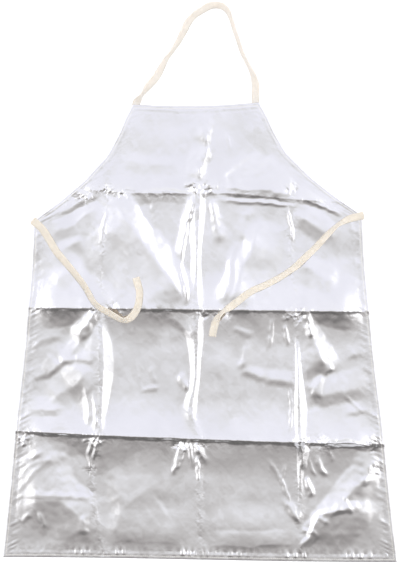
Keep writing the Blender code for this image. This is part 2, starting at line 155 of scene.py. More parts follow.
# Creases, in millimetres: from x, y to x, y, then reach to the left and right of that run at its
# start and at its end, then height at its start and at its end. A negative height is a valley.
CREASES = (
    # bottom panel, left
    (-312, 220, -384, 178, 9, 10, 14, 14, 1.0, 2.4),
    (-330, 196, -386, 146, 12, 12, 16, 16, 1.2, 2.6),
    (-300, 202, -376, 132, 8, 8, 10, 10, 0.6, 1.4),
    (-392, 128, -220, 125, 12, 5, 10, 5, 1.1, 0.7),
    (-220, 252, -60, 244, 90, 84, 90, 76, 1.7, 1.4),
    (-178, 36, -20, 32, 64, 32, 64, 30, 2.0, 1.8),
    (-213, 242, -224, 206, 5, 4, 5, 6, 2.6, 1.6),
    (-201, 244, -214, 200, 5, 5, 4, 5, 2.6, 1.6),
    (-224, 208, -216, 146, 4, 6, 4, 5, 1.4, 1.6),
    (-340, 92, -352, 74, 9, 9, 6, 6, 1.4, 1.0),
    (-322, 96, -312, 66, 8, 9, 6, 6, 1.2, 1.4),
    (-236, 90, -226, 50, 12, 10, 12, 12, 1.6, 1.2),
    # bottom panel, middle
    (-34, 242, -50, 176, 5, 6, 5, 8, 3.2, 1.2),
    (-20, 242, -14, 186, 5, 5, 6, 6, 2.8, 0.8),
    (-26, 228, -50, 170, 4, 6, 4, 5, 1.6, 2.2),
    (-8, 232, 10, 196, 6, 6, 12, 8, 2.6, 0.8),
    (-6, 206, -4, 158, 4, 5, 4, 4, 2.6, 1.4),
    (168, 118, 198, 80, 12, 8, 14, 8, 1.2, 3.0),
    (136, 204, 166, 150, 4, 6, 4, 5, 0.5, 1.3),
    (170, 188, 164, 158, 4, 4, 4, 4, 0.9, 0.9),
    (164, 158, 180, 118, 4, 5, 3, 4, 1.4, 1.2),
    (-98, 132, -66, 84, 6, 16, 7, 20, 0.5, 1.0),
    # bottom panel, right
    (194, 242, 206, 184, 18, 8, 9, 8, 5.0, 2.0),
    (204, 24, 242, 90, 7, 12, 8, 14, 2.2, 3.0),
    (240, 94, 330, 112, 9, 12, 10, 12, 2.6, 2.0),
    (322, 158, 372, 162, 8, 14, 8, 12, 2.0, 1.6),
    (206, 60, 232, 52, 6, 6, 6, 6, 1.2, 0.8),
    (232, 92, 262, 74, 6, 6, 6, 6, 1.4, 0.8),
    (290, 124, 306, 96, 6, 6, 6, 6, 1.2, 0.8),
    (212, 26, 364, 206, 32, 72, 44, 56, 4.2, 6.6),
    (24, 28, 190, 30, 30, 20, 30, 22, 2.2, 2.4),
    (236, 98, 384, 96, 20, 92, 20, 88, 2.2, 3.6),
    (232, 206, 256, 172, 9, 8, 6, 10, 1.0, 2.2),
    (214, 164, 222, 126, 8, 9, 8, 8, 2.4, 2.2),
    (250, 226, 268, 200, 5, 4, 4, 4, 1.4, 0.6),
    (214, 206, 236, 170, 4, 4, 4, 4, 0.6, 1.2),
    (248, 232, 362, 230, 5, 10, 6, 12, 2.6, 2.4),
    (344, 186, 372, 196, 8, 9, 8, 9, 1.6, 2.6),
    # second panel from the bottom, left
    (-352, 501, -236, 501, 120, 42, 110, 34, 4.6, 4.2),
    (-204, 496, -246, 446, 12, 12, 16, 20, 2.8, 3.4),
    (-214, 480, -256, 410, 10, 26, 12, 26, 1.4, 1.2),
    (-214, 393, -250, 399, 6, 24, 7, 28, 0.8, 1.6),
    (-250, 399, -280, 394, 7, 28, 7, 28, 1.6, 1.8),
    (-280, 394, -306, 368, 7, 28, 7, 26, 1.8, 1.6),
    (-306, 368, -354, 360, 7, 24, 7, 20, 1.6, 1.2),
    (-220, 375, -292, 318, 30, 44, 36, 40, 2.4, 2.0),
    (-350, 402, -316, 440, 16, 9, 18, 9, 1.6, 0.9),
    (-360, 336, -326, 352, 16, 7, 16, 7, 1.2, 0.8),
    (-358, 302, -278, 300, 26, 14, 28, 14, 1.4, 1.8),
    (-342, 430, -276, 452, 30, 14, 30, 12, 1.2, 1.0),
    (-228, 352, -222, 276, 14, 7, 10, 8, 0.8, 1.7),
    (-213, 334, -206, 268, 4, 6, 4, 6, 0.6, 1.4),
    # second panel, middle
    (-150, 498, -30, 492, 120, 40, 120, 50, -1.2, -1.0),
    (-60, 484, -14, 440, 40, 10, 22, 8, 1.6, 1.4),
    (-94, 382, -90, 354, 4, 5, 4, 4, 0.6, 1.0),
    (-120, 340, -84, 344, 5, 5, 5, 5, 0.6, 0.9),
    (-44, 366, -22, 342, 10, 12, 8, 8, 1.4, 2.2),
    (96, 436, 82, 384, 16, 7, 22, 10, 1.0, 1.7),
    (86, 378, 128, 362, 14, 10, 20, 12, 1.6, 1.6),
    (128, 364, 192, 352, 20, 12, 22, 12, 1.6, 1.8),
    (146, 482, 140, 424, 6, 7, 5, 7, 1.2, 1.4),
    (174, 466, 172, 430, 6, 6, 6, 7, 1.2, 1.4),
    (176, 352, 182, 262, 5, 5, 5, 5, 0.8, 1.4),
    (70, 464, 102, 446, 8, 8, 7, 8, 0.6, 0.8),
    (30, 410, 60, 300, 40, 30, 40, 30, 0.8, 1.0),
    # second panel, right
    (216, 494, 344, 488, 110, 26, 110, 34, 3.2, 4.2),
    (206, 492, 252, 380, 8, 14, 38, 56, 1.4, 6.6),
    (268, 386, 244, 368, 7, 12, 8, 14, 2.0, 1.2),
    (242, 366, 222, 328, 12, 10, 20, 12, 1.6, 2.2),
    (206, 500, 216, 470, 9, 6, 8, 6, 2.4, 1.6),
    (214, 470, 226, 446, 8, 8, 6, 8, 1.6, 2.0),
    (350, 352, 214, 322, 20, 40, 24, 36, 2.4, 2.6),
    (286, 332, 326, 294, 4, 5, 4, 5, 0.8, 1.0),
    (352, 420, 296, 404, 7, 24, 7, 26, 1.6, 1.0),
    (354, 300, 290, 290, 7, 22, 7, 22, 1.4, 0.8),
    (216, 340, 232, 300, 16, 24, 16, 24, -1.0, -1.2),
    # third panel, left
    (-296, 692, -204, 728, 30, 9, 24, 9, 1.5, 1.9),
    (-296, 644, -206, 704, 26, 44, 20, 30, 1.6, 2.4),
    (-292, 560, -238, 590, 12, 26, 12, 26, 1.0, 1.0),
    (-292, 606, -238, 640, 14, 30, 14, 30, 1.2, 2.2),
    (-172, 716, -30, 514, 34, 120, 46, 130, 7.0, 10.5),
    (-112, 716, -86, 640, 14, 20, 5, 10, -3.0, -0.8),
    (-14, 722, -38, 598, 4, 16, 5, 20, 2.0, 3.6),
    (-38, 598, -24, 516, 6, 8, 5, 7, 2.4, 3.2),
    (-192, 694, -196, 640, 5, 6, 4, 5, 0.7, 0.9),
    # third panel, middle
    (122, 664, 54, 508, 60, 24, 76, 36, 3.8, 7.2),
    (76, 646, 48, 514, 5, 12, 6, 14, 0.8, 1.8),
    (24, 716, 40, 640, 10, 8, 18, 16, 2.6, 2.0),
    (96, 700, 86, 640, 12, 20, 20, 30, 1.0, 1.6),
    # third panel, right
    (200, 722, 282, 690, 22, 8, 18, 8, 1.7, 1.5),
    (176, 706, 184, 640, 4, 5, 4, 5, 0.8, 1.4),
    (196, 690, 270, 640, 30, 26, 24, 20, 3.0, 2.4),
    (200, 588, 272, 556, 30, 34, 24, 30, 2.8, 2.4),
    (300, 700, 322, 560, 14, 10, 14, 12, 1.6, 1.8),
    # bib
    (26, 904, 8, 826, 11, 36, 12, 40, 1.0, 2.0),
    (14, 824, 2, 762, 12, 36, 13, 36, 2.0, 2.4),
    (118, 812, 50, 762, 22, 6, 24, 7, 0.8, 1.7),
    (150, 800, 104, 770, 16, 5, 16, 5, 1.0, 1.0),
    (48, 744, 182, 733, 60, 16, 60, 16, 2.8, 2.8),
    (50, 719, 182, 710, 5, 5, 5, 5, 1.4, 1.4),
    (-122, 734, -22, 732, 8, 16, 8, 22, 0.6, 2.0),
    (-150, 796, -40, 786, 16, 20, 16, 20, 0.8, 0.6),
    (54, 852, 62, 824, 5, 5, 4, 4, 0.7, 0.4),
)

# Broad folds: reach to the left and to the right of the run, then its points as x, y, height
FOLDS = (
    (70, 78, ((-392, 97, 2.0), (-326, 119, 5.4), (-280, 119, 6.0), (-250, 95, 6.0), (-238, 59, 5.2),
              (-200, 24, 2.4))),
    (46, 64, ((-300, 238, 0.0), (-268, 216, -2.2), (-236, 184, -3.6), (-212, 139, -3.6),
              (-196, 60, -2.2), (-190, 26, -3.0))),
    (40, 80, ((-374, 150, 1.2), (-334, 190, 3.8), (-306, 200, 4.6), (-286, 176, 2.0),
              (-272, 150, 0.2))),
    (72, 60, ((-190, 26, 0.8), (-144, 117, 3.4), (-100, 146, 2.4), (-54, 172, 0.6))),
)

# Soft humps: x, y, half length and half width in millimetres, turn in degrees, height
SWELLS = (
    (-96, 66, 120, 55, 6, 1.6),
    (104, 62, 118, 58, -4, 2.6),
    (-284, 400, 110, 50, -35, 1.5),
    (-276, 584, 95, 50, -40, 2.0),
    (-98, 825, 110, 50, 25, 0.8),
    (60, 820, 90, 40, -30, 0.6),
)

# Knots of small creases where folds cross: x, y, spread, count, height, all in millimetres
CRUMPLES = (
    (-186, 744, 16, 14, 1.8),
    (-150, 730, 20, 14, 1.6),
    (-230, 726, 30, 10, 1.0),
    (-14, 746, 18, 16, 2.2),
    (20, 742, 18, 14, 1.8),
    (184, 746, 12, 10, 3.0),
    (-206, 502, 16, 14, 1.6),
    (-180, 500, 30, 16, 1.0),
    (6, 496, 16, 14, 1.8),
    (44, 492, 26, 14, 1.0),
    (190, 490, 26, 20, 1.8),
    (-356, 238, 16, 16, 1.8),
    (-208, 238, 16, 12, 1.6),
    (-40, 228, 22, 16, 1.6),
    (0, 226, 16, 10, 1.6),
    (208, 232, 22, 18, 1.8),
    (250, 234, 30, 12, 1.2),
    (350, 232, 26, 14, 1.4),
    (350, 178, 18, 12, 1.4),
    (-222, 180, 12, 10, 1.0),
)

# How strongly each long fold still stands: share of the body's length up, share of its height
LEFT_STAND = (
    (0.00, 0.10), (0.14, 0.25), (0.26, 0.50), (0.29, 0.80), (0.40, 1.00), (0.50, 0.75), (0.56, 0.12),
    (0.81, 0.08),
)
CENTRE_STAND = (
    (0.00, 0.12), (0.20, 0.25), (0.28, 0.70), (0.45, 0.90), (0.55, 1.00), (0.80, 0.90), (0.84, 0.15),
    (1.00, 0.10),
)
RIGHT_STAND = (
    (0.00, 0.15), (0.14, 0.20), (0.24, 0.75), (0.30, 1.00), (0.40, 0.80), (0.46, 0.35), (0.60, 0.14),
    (0.81, 0.12),
)

# Neck strap: x as a share of half the bib's width from its middle, y above the bib as a share of
# the rise, and roll in degrees, left side lifted
NECK_ROUTE = (
    (-0.955, -0.010, 0), (-0.911, 0.036, 30), (-0.876, 0.066, 66), (-0.822, 0.114, 62),
    (-0.746, 0.183, 28), (-0.638, 0.261, 14), (-0.556, 0.350, 32), (-0.471, 0.448, 58),
    (-0.379, 0.527, 64), (-0.273, 0.635, 50), (-0.181, 0.752, 28), (-0.127, 0.821, 24),
    (-0.029, 0.894, 42), (0.094, 0.948, 32), (0.216, 0.991, 32), (0.322, 1.000, 40),
    (0.421, 0.985, 44), (0.498, 0.940, 54), (0.552, 0.860, 66), (0.598, 0.762, 67),
    (0.667, 0.635, 66), (0.727, 0.516, 68), (0.841, 0.369, 68), (0.905, 0.281, 50),
    (0.940, 0.193, 20), (0.946, 0.114, 4), (0.946, 0.010, 0),
)

# Ties: x and y from the underarm corner, and roll in degrees
LEFT_TIE_ROUTE = (
    (0.0000, 0.0000, 0), (0.0100, -0.0086, 0), (0.0200, -0.0196, 2), (0.0320, -0.0386, 6),
    (0.0440, -0.0588, 10), (0.0560, -0.0736, 18), (0.0690, -0.0886, 24), (0.0840, -0.1066, 28),
    (0.0980, -0.1246, 32), (0.1080, -0.1406, 36), (0.1174, -0.1576, 40), (0.1240, -0.1656, 40),
    (0.1320, -0.1726, 36), (0.1500, -0.1830, 32), (0.1680, -0.1936, 38), (0.1770, -0.1976, 46),
    (0.1860, -0.1976, 34), (0.1946, -0.1920, 12), (0.2020, -0.1832, 4), (0.2074, -0.1726, 12),
    (0.2110, -0.1576, 24), (0.2114, -0.1396, 22), (0.2080, -0.1268, 16), (0.2040, -0.1126, 10),
)
RIGHT_TIE_ROUTE = (
    (0.0000, 0.0000, 0), (-0.0130, -0.0030, 6), (-0.0260, -0.0064, 22), (-0.0380, -0.0120, 46),
    (-0.0500, -0.0194, 60), (-0.0600, -0.0284, 52), (-0.0700, -0.0384, 42), (-0.0940, -0.0644, 32),
    (-0.1180, -0.0870, 28), (-0.1330, -0.1014, 32), (-0.1470, -0.1114, 44), (-0.1620, -0.1216, 38),
    (-0.1786, -0.1308, 36), (-0.1980, -0.1404, 32), (-0.2150, -0.1476, 28), (-0.2300, -0.1564, 20),
    (-0.2440, -0.1674, 14), (-0.2640, -0.1824, 22), (-0.2720, -0.1870, 44), (-0.2794, -0.1924, 62),
    (-0.2874, -0.2014, 48), (-0.2924, -0.2114, 18), (-0.2960, -0.2244, 4), (-0.2980, -0.2334, 0),
    (-0.2992, -0.2416, 0),
)

# Where the bottom hem is gathered most: x and reach, in metres
HEM_PULLS = (
    (-0.238, 0.024), (-0.160, 0.014), (-0.030, 0.024), (0.070, 0.045), (0.190, 0.020), (0.315, 0.040),
)

# Gathers beside the hem stitches, as waves: height, length in metres, shift
PUCKERS = ((0.5, 0.0131, 0.3), (0.6, 0.0193, 1.9), (0.5, 0.0317, 4.1), (0.4, 0.0575, 0.9))

# What the foil mirrors. Light by direction, from the hem's side at -1 to the bib's side at 1
LENGTH_LIGHT = (
    (-1.00, (0.45, 0.44, 0.43)), (-0.75, (0.12, 0.115, 0.11)), (-0.50, (0.22, 0.21, 0.205)),
    (-0.35, (0.38, 0.36, 0.35)), (-0.25, (0.48, 0.46, 0.45)), (-0.15, (0.61, 0.595, 0.585)),
    (-0.06, (0.74, 0.735, 0.74)), (0.02, (0.84, 0.84, 0.86)), (0.10, (0.90, 0.90, 0.98)),
    (0.34, (0.92, 0.92, 0.98)), (0.55, (0.94, 0.94, 0.96)), (0.80, (0.80, 0.80, 0.81)),
    (1.00, (0.74, 0.74, 0.75)),
)
# Grey light that is added to it, from the left at -1 to the right at 1
SIDE_LIGHT = (
    (-1.00, 0.0), (-0.75, 0.60), (-0.42, 0.80), (-0.26, 0.05), (0.00, 0.0),
    (0.26, 0.05), (0.42, 0.80), (0.75, 0.60), (1.00, 0.0),
)
# How much of the side light there is, from the hem's side at -1 to the bib's side at 1
SIDE_SHARE = ((-1.0, 0.1), (-0.45, 0.1), (-0.15, 1.0), (1.0, 1.0))
# How far up a direction points: the room's light below the first share, all of the above from
# the second
ROOM_HEIGHTS = (0.24, 0.48)
ROOM_LIGHT = (0.76, 0.76, 0.78)

CAMERA_HEIGHT = 3.0
CAMERA_Y = -0.0016
VIEW_LENGTH = 1.132
SENSOR = 36
FLOOR_REACH = 40.0
LAMP_HEIGHT = 3.6
LAMP_SIZE = 4.0
LAMP_POWER = 125.0


# Settings

def length(name, description, default):
    return bpy.props.FloatProperty(
        name=name, description=description, default=default, min=0.0, unit="LENGTH", precision=4
    )


def colour(name, description, default):
    return bpy.props.FloatVectorProperty(
        name=name, description=description, default=default, size=3, min=0.0, max=1.0,
        subtype="COLOR",
    )


class ApronSizes(bpy.types.PropertyGroup):
    cloth: length("Cloth", "Thickness of the foil-faced cloth", 0.0012)
    cross_fold: length("Cross fold", "Height of the ridges that run across the apron", 0.0068)
    long_fold: length("Long fold", "Height of the ridges that run up the apron", 0.0060)
    tape_width: length("Tape width", "Width of the neck strap and ties", 0.015)
    tape_thickness: length("Tape thickness", "Thickness of the neck strap and ties", 0.0012)
    stitch_pitch: length("Stitch pitch", "Distance from one hem stitch to the next", 0.0042)
    stitch_inset: length("Stitch inset", "Distance from the edge to the hem stitches", 0.0055)
    thread: length("Thread", "Thickness of the sewing thread", 0.0009)


class ApronColours(bpy.types.PropertyGroup):
    foil: colour("Foil", "Tint of the aluminium face", (0.93, 0.93, 0.95))
    backing: colour("Backing", "Woven back of the cloth", (0.50, 0.48, 0.44))
    strap: colour("Strap", "Cotton tape of the neck strap", (0.71, 0.665, 0.61))
    ties: colour("Ties", "Cotton tape of the waist ties", (0.668, 0.615, 0.535))
    thread: colour("Thread", "Sewing thread", (0.86, 0.84, 0.78))
    floor: colour("Floor", "Studio floor", (0.92, 0.92, 0.92))


def settings(context):
    return context.scene.apron_sizes, context.scene.apron_colours


# Outline and fold lines, for arrays of positions

def smoothstep(t):
    t = np.clip(t, 0.0, 1.0)
    return t * t * (3.0 - 2.0 * t)


def along(table, t):
    """The table's second column at t, on a smooth curve through its rows that never overshoots."""
    rows = np.array(table)
    step = np.diff(rows[:, 0])
    slope = np.diff(rows[:, 1]) / step
    tangent = np.concatenate((slope[:1], np.zeros(len(slope) - 1), slope[-1:]))
    before, after = slope[:-1], slope[1:]
    same = before * after > 0
    tangent[1:-1][same] = 2 * before[same] * after[same] / (before[same] + after[same])
    t = np.clip(t, rows[0, 0], rows[-1, 0])
    k = np.clip(np.searchsorted(rows[:, 0], t, side="right") - 1, 0, len(step) - 1)
    u = (t - rows[k, 0]) / step[k]
    return (
        rows[k, 1] * (1 + 2 * u) * (1 - u) ** 2
        + tangent[k] * step[k] * u * (1 - u) ** 2
        + rows[k + 1, 1] * u * u * (3 - 2 * u)
        + tangent[k + 1] * step[k] * u * u * (u - 1)
    )


def hem_line(x):
    return HEM_TILT / 2 * np.sin(np.pi / 2 * np.clip(2 * x / HEM_WIDTH, -1.0, 1.0))


def waist_line(x):
    return BODY_LENGTH - ARMHOLE_DROP + WAIST_TILT * (x - WAIST_SHIFT) / WAIST_WIDTH


def top_line(x):
    share = 2 * (x - BIB_SHIFT) / BIB_WIDTH
    return BODY_LENGTH + BIB_TILT / 2 * share - BIB_DIP * np.maximum(0.0, 1 - share * share)


def hem_corner(side):
    x = side * HEM_WIDTH / 2
    return x, float(hem_line(x))


def waist_corner(side):
    x = WAIST_SHIFT + side * WAIST_WIDTH / 2
    return x, waist_line(x)


def bib_corner(side):
    x = BIB_SHIFT + side * BIB_WIDTH / 2
    return x, float(top_line(x))


def edge(side, y):
    """The x of the left or right edge at height y."""
    hem, waist, bib = hem_corner(side), waist_corner(side), bib_corner(side)
    flare = along(SIDE_FLARE, (y - hem[1]) / (waist[1] - hem[1]))
    curve = along(ARMHOLE, (bib[1] - y) / (bib[1] - waist[1]))
    below = waist[0] + (hem[0] - waist[0]) * flare
    return np.where(y <= waist[1], below, bib[0] + (waist[0] - bib[0]) * curve)


def cross_fold(table, x):
    return BODY_LENGTH * along(table, 2 * x / HEM_WIDTH)


def long_fold(table, y):
    return HEM_WIDTH / 2 * along(table, y / BODY_LENGTH)


def outer_column(side, table, y):
    """The x of a long fold, and above its upper end that of the mesh column that goes on from it."""
    end = BODY_LENGTH * table[-1][0]
    end_share = (long_fold(table, end) - edge(side, end)) / (
        long_fold(CENTRE_FOLD, end) - edge(side, end)
    )
    share = end_share + (BIB_COLUMN - end_share) * smoothstep((y - end) / (BODY_LENGTH - end))
    above = edge(side, y) + share * (long_fold(CENTRE_FOLD, y) - edge(side, y))
    return np.where(y <= end, long_fold(table, y), above)


def inset(x, y):
    """Distance in from the nearest edge, measured along the apron's axes."""
    return np.minimum.reduce((x - edge(LEFT, y), edge(RIGHT, y) - x, y - hem_line(x), top_line(x) - y))


# The mesh's lines

def line_places(rims, cells):
    """For each line of the mesh: the anchor line before it, and its share of the way to the next."""
    places = [(k, 0.0) for k in range(rims - 1)]
    for k, count in enumerate(cells):
        for step in range(count):
            even = step / count
            graded = (1 - math.cos(math.pi * even)) / 2
            places.append((rims - 1 + k, 0.45 * even + 0.55 * graded))
    return places + [(rims - 1 + len(cells) + k, 0.0) for k in range(rims)]


def between_hems(start, folds, end, hem_lines):
    first = [start + d for d in hem_lines]
    last = [end - d for d in reversed(hem_lines)]
    return np.stack(first + folds + last)


def columns_at(y, hem_lines):
    left, right = edge(LEFT, y), edge(RIGHT, y)
    folds = [outer_column(LEFT, LEFT_FOLD, y), long_fold(CENTRE_FOLD, y)]
    folds.append(outer_column(RIGHT, RIGHT_FOLD, y))
    return between_hems(left, folds, right, hem_lines)


def rows_at(x, hem_lines):
    bottom, top = hem_line(x), top_line(x)
    folds = [cross_fold(LOW_FOLD, x), cross_fold(MIDDLE_FOLD, x), waist_line(x)]
    folds.append(cross_fold(HIGH_FOLD, x))
    return between_hems(bottom, folds, top, hem_lines)


def between(lines, places, index):
    """The position of each line number in index, read from the anchor lines."""
    low = np.array([p[0] for p in places])[index]
    share = np.array([p[1] for p in places])[index]
    high = np.minimum(low + 1, len(lines) - 1)
    start = np.take_along_axis(lines, low[None], 0)[0]
    return start + share * (np.take_along_axis(lines, high[None], 0)[0] - start)


# Relief

def tent(distance, left, right):
    return np.maximum(0.0, 1 - np.where(distance > 0, distance / left, -distance / right))


def cross_ridge(x, y):
    """The packing folds across the apron: a long rise from above, a short steep drop below."""
    height = np.zeros_like(x)
    for table, stand, drop, foot in (
        (LOW_FOLD, 1.00, 0.38, 0.0066),
        (MIDDLE_FOLD, 0.95, 0.22, 0.0052),
        (HIGH_FOLD, 0.35, 0.30, 0.0052),
    ):
        d = y - cross_fold(table, x)
        ragged = foot + 0.0020 * np.sin(x / 0.011 + 1.0) * np.sin(x / 0.037)
        ragged += 0.0009 * np.sin(x / 0.0047)
        rise = tent(d, CROSS_ABOVE, CROSS_BELOW) ** 1.6
        lip = tent(d, CROSS_ABOVE, ragged)
        share = drop * (0.75 + 0.25 * np.sin(x / 0.053 + 2.0))
        height = np.maximum(height, stand * np.where(d > 0, rise, (1 - share) * rise + share * lip))
        ticks = np.abs(np.sin(x / 0.0024 + 2.5 * np.sin(x / 0.019)))
        ticks *= 0.55 + 0.45 * np.sin(x / 0.043 + y)
        height = height + 0.07 * stand * ticks * tent(d, 0.007, 0.009)
    return height


def long_ridge(x, y):
    height = np.zeros_like(x)
    for table, stand, left, right in (
        (LEFT_FOLD, LEFT_STAND, 0.060, 0.022),
        (CENTRE_FOLD, CENTRE_STAND, 0.018, 0.012),
        (RIGHT_FOLD, RIGHT_STAND, 0.007, 0.013),
    ):
        up = y / BODY_LENGTH
        fade = 1.0 if table is CENTRE_FOLD else 1 - smoothstep((y - BODY_LENGTH * table[-1][0]) / 0.03)
        d = x - long_fold(table, y)
        swing = 1 + 0.35 * np.sin(y / 0.037 + 60 * left)
        narrow = np.minimum(1, 1.3 * tent(d, right * swing, left * swing))
        broad = tent(d, LONG_REACH, LONG_REACH) ** 2
        shape = 0.35 * broad + 0.65 * min(1, right / 0.018) * narrow
        height = np.maximum(height, fade * along(stand, up) * shape)
    return height


def crease(x, y, x0, y0, x1, y1, left0, right0, left1, right1, height0, height1):
    """A straight crease that tapers off towards its ends."""
    run = math.hypot(x1 - x0, y1 - y0)
    ux, uy = (x1 - x0) / run, (y1 - y0) / run
    t = ((x - x0) * ux + (y - y0) * uy) / run
    d = ux * (y - y0) - uy * (x - x0)
    way = np.clip(t, 0.0, 1.0)
    left, right = left0 + way * (left1 - left0), right0 + way * (right1 - right0)
    fade = smoothstep((t + 0.12) / 0.34) * smoothstep((1.12 - t) / 0.34)
    return (height0 + way * (height1 - height0)) * fade * tent(d, left, right)


def fold(x, y, left, right, points):
    """A broad ridge or valley along a line of several points."""
    found = np.zeros_like(x)
    for (x0, y0, height0), (x1, y1, height1) in zip(points, points[1:]):
        run = math.hypot(x1 - x0, y1 - y0)
        ux, uy = (x1 - x0) / run, (y1 - y0) / run
        t = np.clip(((x - x0) * ux + (y - y0) * uy) / run, 0.0, 1.0)
        dx, dy = x - x0 - t * (x1 - x0), y - y0 - t * (y1 - y0)
        away = np.hypot(dx, dy) + 1e-6
        reach = right + (left - right) * (0.5 + 0.5 * (ux * dy - uy * dx) / away)
        height = (height0 + t * (height1 - height0)) * np.maximum(0.0, 1 - away / reach)
        found = np.where(np.abs(height) > np.abs(found), height, found)
    return found


def swell(x, y, across, up, half_length, half_width, turn, height):
    c, s = math.cos(math.radians(turn)), math.sin(math.radians(turn))
    u = ((x - across) * c + (y - up) * s) / half_length
    v = ((y - up) * c - (x - across) * s) / half_width
    return height * np.maximum(0.0, 1 - u * u - v * v) ** 2


def ripple(x, y, pitch, seed, waves=14):
    """A field of smooth random waves of about the given length, from about -1 to 1."""
    rng = np.random.default_rng(seed)
    field = np.zeros_like(x)
    for _ in range(waves):
        turn = rng.uniform(0, 2 * math.pi)
        number = 2 * math.pi / (pitch * rng.uniform(0.7, 1.5))
        field += np.sin(number * (math.cos(turn) * x + math.sin(turn) * y) + rng.uniform(0, 6.3))
    return field / math.sqrt(waves)


def crumple_creases():
    """Short creases at random angles round each place where folds cross."""
    rng = np.random.default_rng(7)
    found = []
    for x, y, spread, count, height in CRUMPLES:
        for _ in range(count):
            away, turn = spread * rng.random() ** 0.7, rng.uniform(0, 2 * math.pi)
            cx, cy = x + away * math.cos(turn), y + 0.6 * away * math.sin(turn)
            half, lie = rng.uniform(3, 11), rng.uniform(0, math.pi)
            dx, dy = half * math.cos(lie), half * math.sin(lie)
            reach = rng.uniform(2.4, 5.0)
            lift = 0.65 * height * rng.uniform(0.3, 1.0) * rng.choice((-0.8, 1.0))
            line = (cx - dx, cy - dy, cx + dx, cy + dy)
            found.append((*line, reach, 0.8 * reach, 0.8 * reach, reach, lift, 0.4 * lift))
    return found


def crush(x, y):
    """How crumpled the foil is, from 0 in the middle of a panel to 1 where folds cross."""
    mx, my = 1000 * x, 1000 * y
    worn = 0.04 + 0.20 * (1 - smoothstep(inset(x, y) / 0.035))
    for table in (LOW_FOLD, MIDDLE_FOLD, HIGH_FOLD):
        worn = np.maximum(worn, 0.5 * tent(y - cross_fold(table, x), 0.010, 0.022))
    for table in (LEFT_FOLD, CENTRE_FOLD, RIGHT_FOLD):
        worn = np.maximum(worn, 0.4 * tent(x - long_fold(table, y), 0.018, 0.018))
    for cx, cy, spread, _, _ in CRUMPLES:
        away = np.hypot(mx - cx, (my - cy) / 0.7)
        worn = np.maximum(worn, 1 - smoothstep(away / (1.6 * spread)))
    return worn


def edge_puckers(x, y):
    """Small gathers that the stitching pulls into the cloth beside the hem."""
    d = inset(x, y)
    window = smoothstep((d - 0.003) / 0.009) * (1 - smoothstep((d - 0.010) / 0.026))
    at_side = np.minimum(x - edge(LEFT, y), edge(RIGHT, y) - x) <= d + 0.002
    run = np.where(at_side, y + 0.5 * np.abs(x), x + 0.25 * y)
    waves = sum(a * np.sin(2 * np.pi * run / pitch + shift) for a, pitch, shift in PUCKERS)
    pulled = sum(np.exp(-(((x - at) / reach) ** 2)) for at, reach in HEM_PULLS)
    low = (1 - smoothstep((y - hem_line(x) - 0.008) / 0.020)) * ~at_side
    checks = np.sin(2 * np.pi * x / 0.0145 + 2.0 * np.sin(x / 0.021))
    return window * (np.abs(waves) - 0.4) + low * window * (0.5 + 2.6 * pulled) * checks


def tab_lines():
    """The two ends, in plan, of the hidden stretch of tape behind each corner."""
    lines = []
    for row in (NECK_ROUTE[0], NECK_ROUTE[-1]):
        x, y = neck_point(row)
        lines.append((x, y, x, y - TAB_LENGTH))
    for side, route in ((LEFT, LEFT_TIE_ROUTE), (RIGHT, RIGHT_TIE_ROUTE)):
        x, y = waist_corner(side)
        dx, dy = Vector(route[1][:2]).normalized() * TAB_LENGTH
        lines.append((x, y, x + dx, y + dy))
    return lines


def lift(x, y, sizes):
    """How far the cloth is held off the floor by the tapes sewn behind its corners."""
    height = np.zeros_like(x)
    for x0, y0, x1, y1 in tab_lines():
        dx, dy = x1 - x0, y1 - y0
        t = np.clip(((x - x0) * dx + (y - y0) * dy) / (dx * dx + dy * dy), 0.0, 1.0)
        away = np.hypot(x - x0 - t * dx, y - y0 - t * dy) - 1.5 * sizes.tape_width
        height = np.maximum(height, 1 - smoothstep(away / LIFT_REACH))
    return (sizes.tape_thickness + 2 * GAP) * height


def cloth_top(x, y, sizes):
    """Height of the foil face above the floor."""
    mx, my = 1000 * x, 1000 * y
    d = inset(x, y)
    inward = smoothstep((d - HEM_BAND) / 0.045)
    near = smoothstep((d - 0.006) / 0.020)
    folds = np.hypot(sizes.cross_fold * cross_ridge(x, y), sizes.long_fold * long_ridge(x, y))
    folds *= 0.45 + 0.55 * inward
    marks = sum(swell(mx, my, *row) for row in SWELLS)
    bent_x = mx + 2.4 * ripple(mx, my, 75, 11) + 0.9 * ripple(mx, my, 20, 12)
    bent_y = my + 2.4 * ripple(mx, my, 75, 13) + 0.9 * ripple(mx, my, 20, 14)
    marks = marks + sum(fold(bent_x, bent_y, *row) for row in FOLDS)
    marks = marks + sum(crease(bent_x, bent_y, *row) for row in CREASES)
    small = sum(crease(bent_x, bent_y, *row) for row in crumple_creases())
    calm = 1 - 0.6 * smoothstep((y - 0.74) / 0.03)
    waves = 0.10 * calm * ripple(mx, my, 60, 3) + 0.04 * np.abs(ripple(mx, my, 22, 5))
    puckers = (0.45 - 0.35 * smoothstep((y - 0.69) / 0.05)) * edge_puckers(x, y)
    rim = 0.3 * (1 - smoothstep(d / 0.0016))
    groove = 0.20 * np.maximum(0.0, 1 - np.abs(d - sizes.stitch_inset) / 0.0016)
    step = 0.22 * smoothstep((d - HEM_STEP) / 0.0022)
    sag = HEM_WALL - sizes.cloth - GAP - 0.00022
    top = HEM_WALL + lift(x, y, sizes) + folds - sag * inward
    top += 0.001 * (marks * (0.25 * near + 0.75 * inward) + (small + waves) * near + puckers)
    floor = FLOOR_GAP + np.where(d < HEM_BAND, HEM_WALL, sizes.cloth)
    return np.maximum(top - 0.001 * (rim + groove + step), floor - 0.001 * rim)


# Meshes

